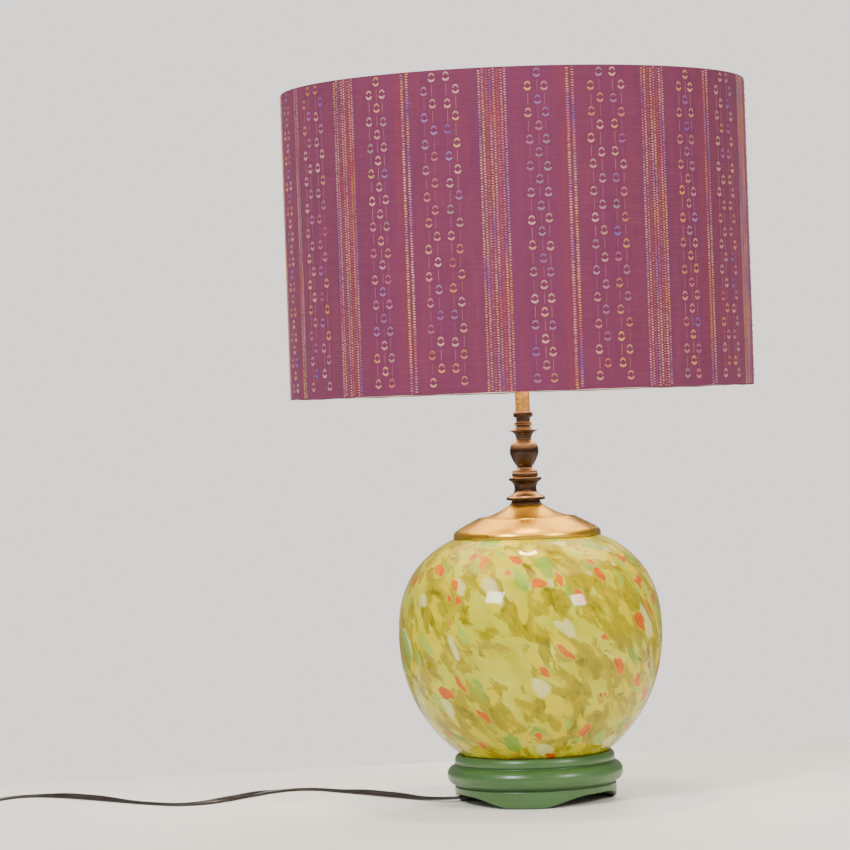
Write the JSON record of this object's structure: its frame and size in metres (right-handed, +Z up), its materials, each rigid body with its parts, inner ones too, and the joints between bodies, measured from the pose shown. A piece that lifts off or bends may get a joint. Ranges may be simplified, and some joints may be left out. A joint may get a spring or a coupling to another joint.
{
  "type": "table lamp with shade",
  "caption": "Table lamp with a striped drum shade on a harp, a mottled glass globe, a turned neck and a scalloped wood base with a mains lead.",
  "frame": {"origin": "on the table, under the centre of the base", "axes": "+Z up along the lamp's axis, -Y towards the front, the mains lead leaves towards -X"},
  "size_m": [0.8022, 0.4062, 0.6325],
  "materials": {
    "green_wood": "satin paint over turned wood",
    "steel": "zinc plated",
    "black_plastic": "moulded",
    "brown_cord": "flexible PVC",
    "gasket_rubber": "matte",
    "art_glass": "blown, gloss",
    "antique_brass": "spun, brushed",
    "dark_bronze": "turned, dark patina",
    "bright_brass": "polished",
    "harp_brass": "plated wire",
    "socket_brass": "pressed, satin",
    "fibre_paper": "fibre",
    "bulb_metal": "rolled thread",
    "bulb_glass": "frosted",
    "striped_fabric": "woven, embroidered stripes",
    "white_liner": "satin sheet",
    "white_wire": "powder coat"
  },
  "bodies": {
    "root": {"wood_base": "green_wood", "base_washer": "steel", "lock_washer": "steel", "rod_nut": "steel", "rod_bushing": "black_plastic", "threaded_rod": "steel", "inner_lead": "brown_cord", "strain_relief": "brown_cord", "globe_gasket": "gasket_rubber", "glass_globe": "art_glass", "cap_gasket": "gasket_rubber", "globe_cap": "antique_brass", "neck_foot": "dark_bronze", "neck_bead": "dark_bronze", "neck_vase": "dark_bronze", "neck_flare": "dark_bronze", "neck_disc": "dark_bronze", "neck_cup": "dark_bronze", "neck_tube": "bright_brass", "harp_saddle": "harp_brass", "harp_bow": "harp_brass", "harp_stud": "harp_brass", "socket_cap": "socket_brass", "socket_shell": "socket_brass", "socket_sleeve": "fibre_paper", "socket_body": "black_plastic", "socket_screw": "socket_brass", "cord_tube": "brown_cord", "cord_coil": "brown_cord", "coil_tie": "black_plastic", "cord_tail": "brown_cord", "plug_body": "brown_cord", "plug_blades": "bright_brass"},
    "shade": {"shade_fabric": "striped_fabric", "shade_liner": "white_liner", "shade_spider": "white_wire", "top_ring": "white_wire", "bottom_ring": "white_wire"},
    "finial": {"finial": "bright_brass"},
    "knob": {"switch_knob": "black_plastic"},
    "bulb": {"bulb_base": "bulb_metal", "bulb_glass": "bulb_glass"},
    "left_sleeve": {"sleeve_left": "steel"},
    "right_sleeve": {"sleeve_right": "steel"}
  },
  "joints": [
    {"name": "shade_turn", "type": "hinge", "parent": "root", "child": "shade", "pos_m": [0, 0, 0.61078], "axis": [0, 0, 1], "continuous": true},
    {"name": "finial_turn", "type": "hinge", "parent": "root", "child": "finial", "pos_m": [0, 0, 0.61578], "axis": [0, 0, 1], "continuous": true},
    {"name": "switch_turn", "type": "hinge", "parent": "root", "child": "knob", "pos_m": [0, -0.02, 0.43958], "axis": [0, -1, 0], "continuous": true},
    {"name": "bulb_turn", "type": "hinge", "parent": "root", "child": "bulb", "pos_m": [0, 0, 0.46], "axis": [0, 0, 1], "continuous": true},
    {"name": "left_sleeve_lift", "type": "slide", "parent": "root", "child": "left_sleeve", "axis": [0, 0, 1], "range_m": [0, 0.012]},
    {"name": "right_sleeve_lift", "type": "slide", "parent": "root", "child": "right_sleeve", "axis": [0, 0, 1], "range_m": [0, 0.012]}
  ]
}
